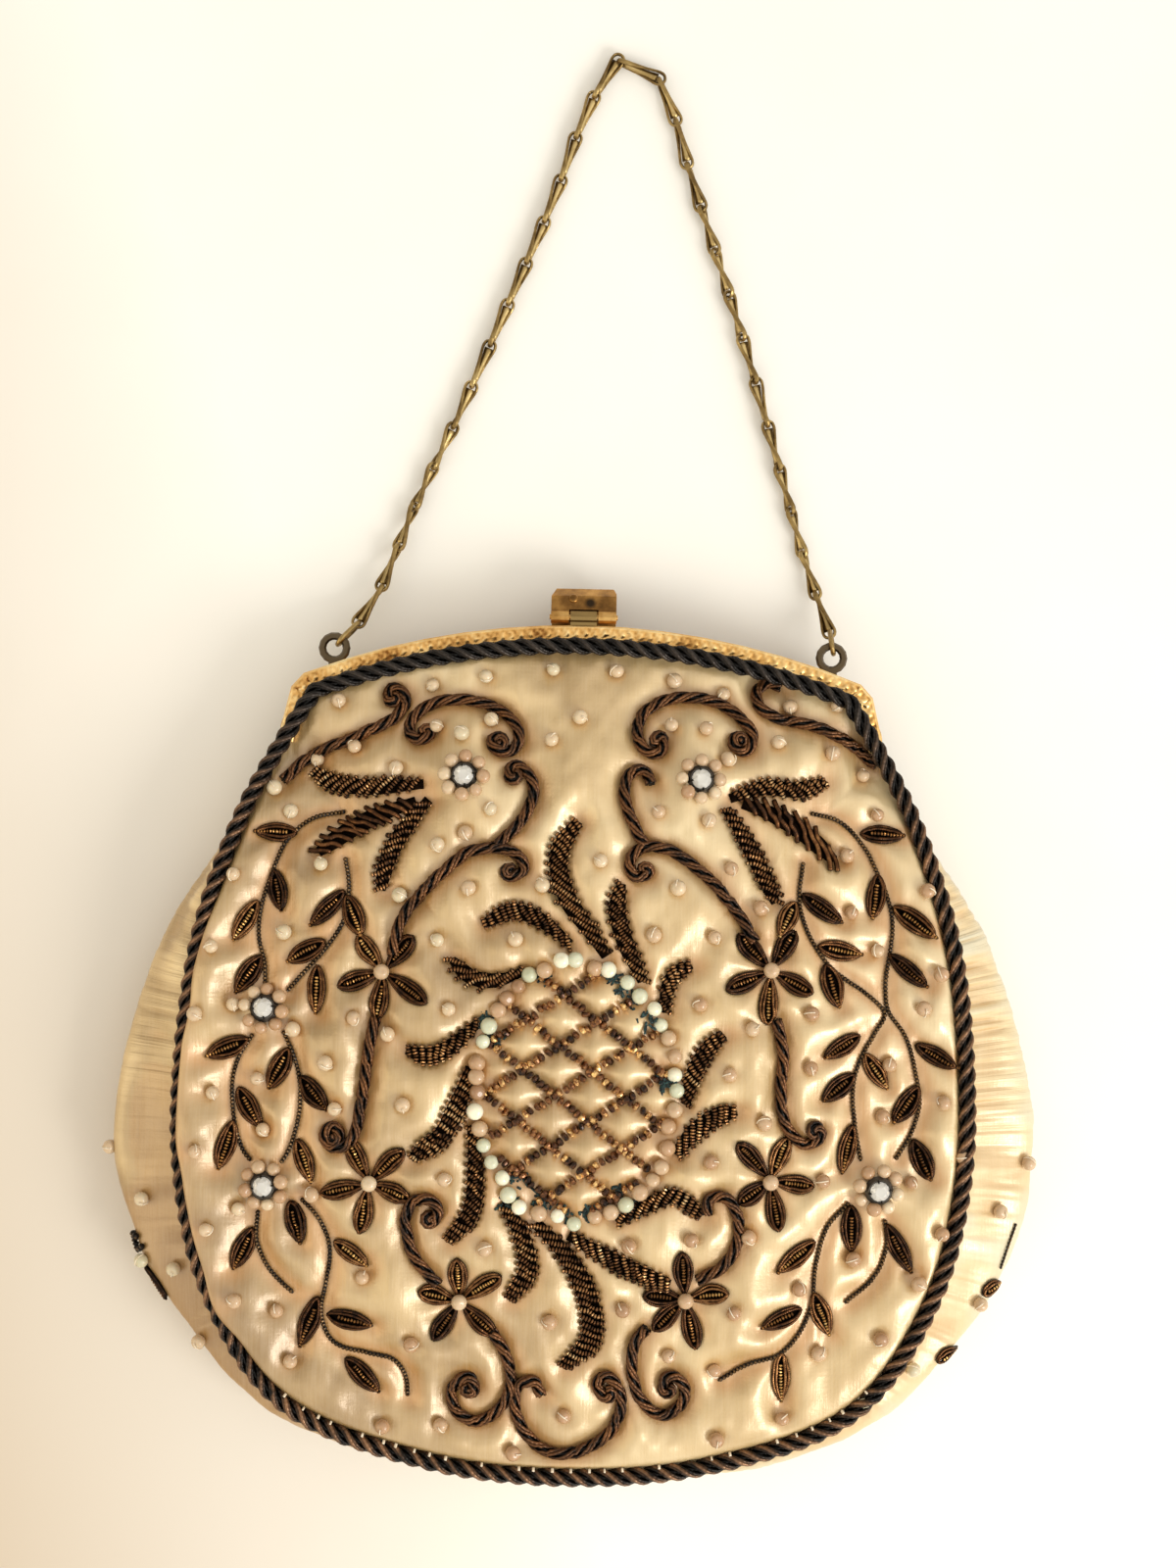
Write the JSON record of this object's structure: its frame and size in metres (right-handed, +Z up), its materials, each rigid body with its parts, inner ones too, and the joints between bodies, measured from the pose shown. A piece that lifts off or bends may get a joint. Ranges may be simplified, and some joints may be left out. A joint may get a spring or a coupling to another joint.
{
  "type": "beaded evening bag",
  "caption": "Satin frame bag with beaded and corded embroidery on the front, a gilt hinged frame with a flap clasp, and a chain handle; it lies on its back.",
  "frame": {"origin": "middle of the flat part of the back panel, where the bag rests on its back", "axes": "+X across the bag to its right as seen from the front, +Y from the pouch towards the frame and the chain, +Z up out of the front panel"},
  "size_m": [0.1896, 0.2985, 0.0309],
  "materials": {
    "satin": "cream satin, softly shining",
    "metal_cord": "dark tarnished metal thread, twisted",
    "gilt_brass": "stamped gilt brass, worn",
    "chain_brass": "aged brass",
    "crystal": "clear cut crystal with a foiled back",
    "purl_wire": "dark coiled wire",
    "seed_bead": "bronze seed beads",
    "pearl": "milky glass pearls",
    "thread": "dark embroidery thread"
  },
  "bodies": {
    "bag": {"front_panel": "satin", "back_panel": "satin", "gusset": "satin", "front_cord": "metal_cord", "back_cord": "metal_cord", "frame_front": "gilt_brass", "frame_back": "gilt_brass", "hinge_rivet_left": "gilt_brass", "hinge_rivet_right": "gilt_brass", "clasp_pin": "gilt_brass", "jump_ring_left": "chain_brass", "jump_ring_right": "chain_brass", "chain_link_01": "chain_brass", "chain_link_02": "chain_brass", "chain_link_03": "chain_brass", "chain_link_04": "chain_brass", "chain_link_05": "chain_brass", "chain_link_06": "chain_brass", "chain_link_07": "chain_brass", "chain_link_08": "chain_brass", "chain_link_09": "chain_brass", "chain_link_10": "chain_brass", "chain_link_11": "chain_brass", "chain_link_12": "chain_brass", "chain_link_13": "chain_brass", "chain_link_14": "chain_brass", "chain_link_15": "chain_brass", "chain_link_16": "chain_brass", "chain_link_17": "chain_brass", "chain_link_18": "chain_brass", "chain_link_19": "chain_brass", "chain_link_20": "chain_brass", "chain_link_21": "chain_brass", "chain_link_22": "chain_brass", "chain_link_23": "chain_brass", "chain_link_24": "chain_brass", "chain_link_25": "chain_brass", "chain_link_26": "chain_brass", "chain_link_27": "chain_brass", "chain_link_28": "chain_brass", "stone_1": "crystal", "stone_2": "crystal", "stone_3": "crystal", "stone_4": "crystal", "stone_5": "crystal"},
    "flap": {"clasp_flap": "gilt_brass"}
  },
  "joints": [
    {"name": "clasp_turn", "type": "hinge", "parent": "bag", "child": "flap", "pos_m": [0, 0.08905, 0.0144], "axis": [1, 0, 0], "range_deg": [0, 100]}
  ]
}
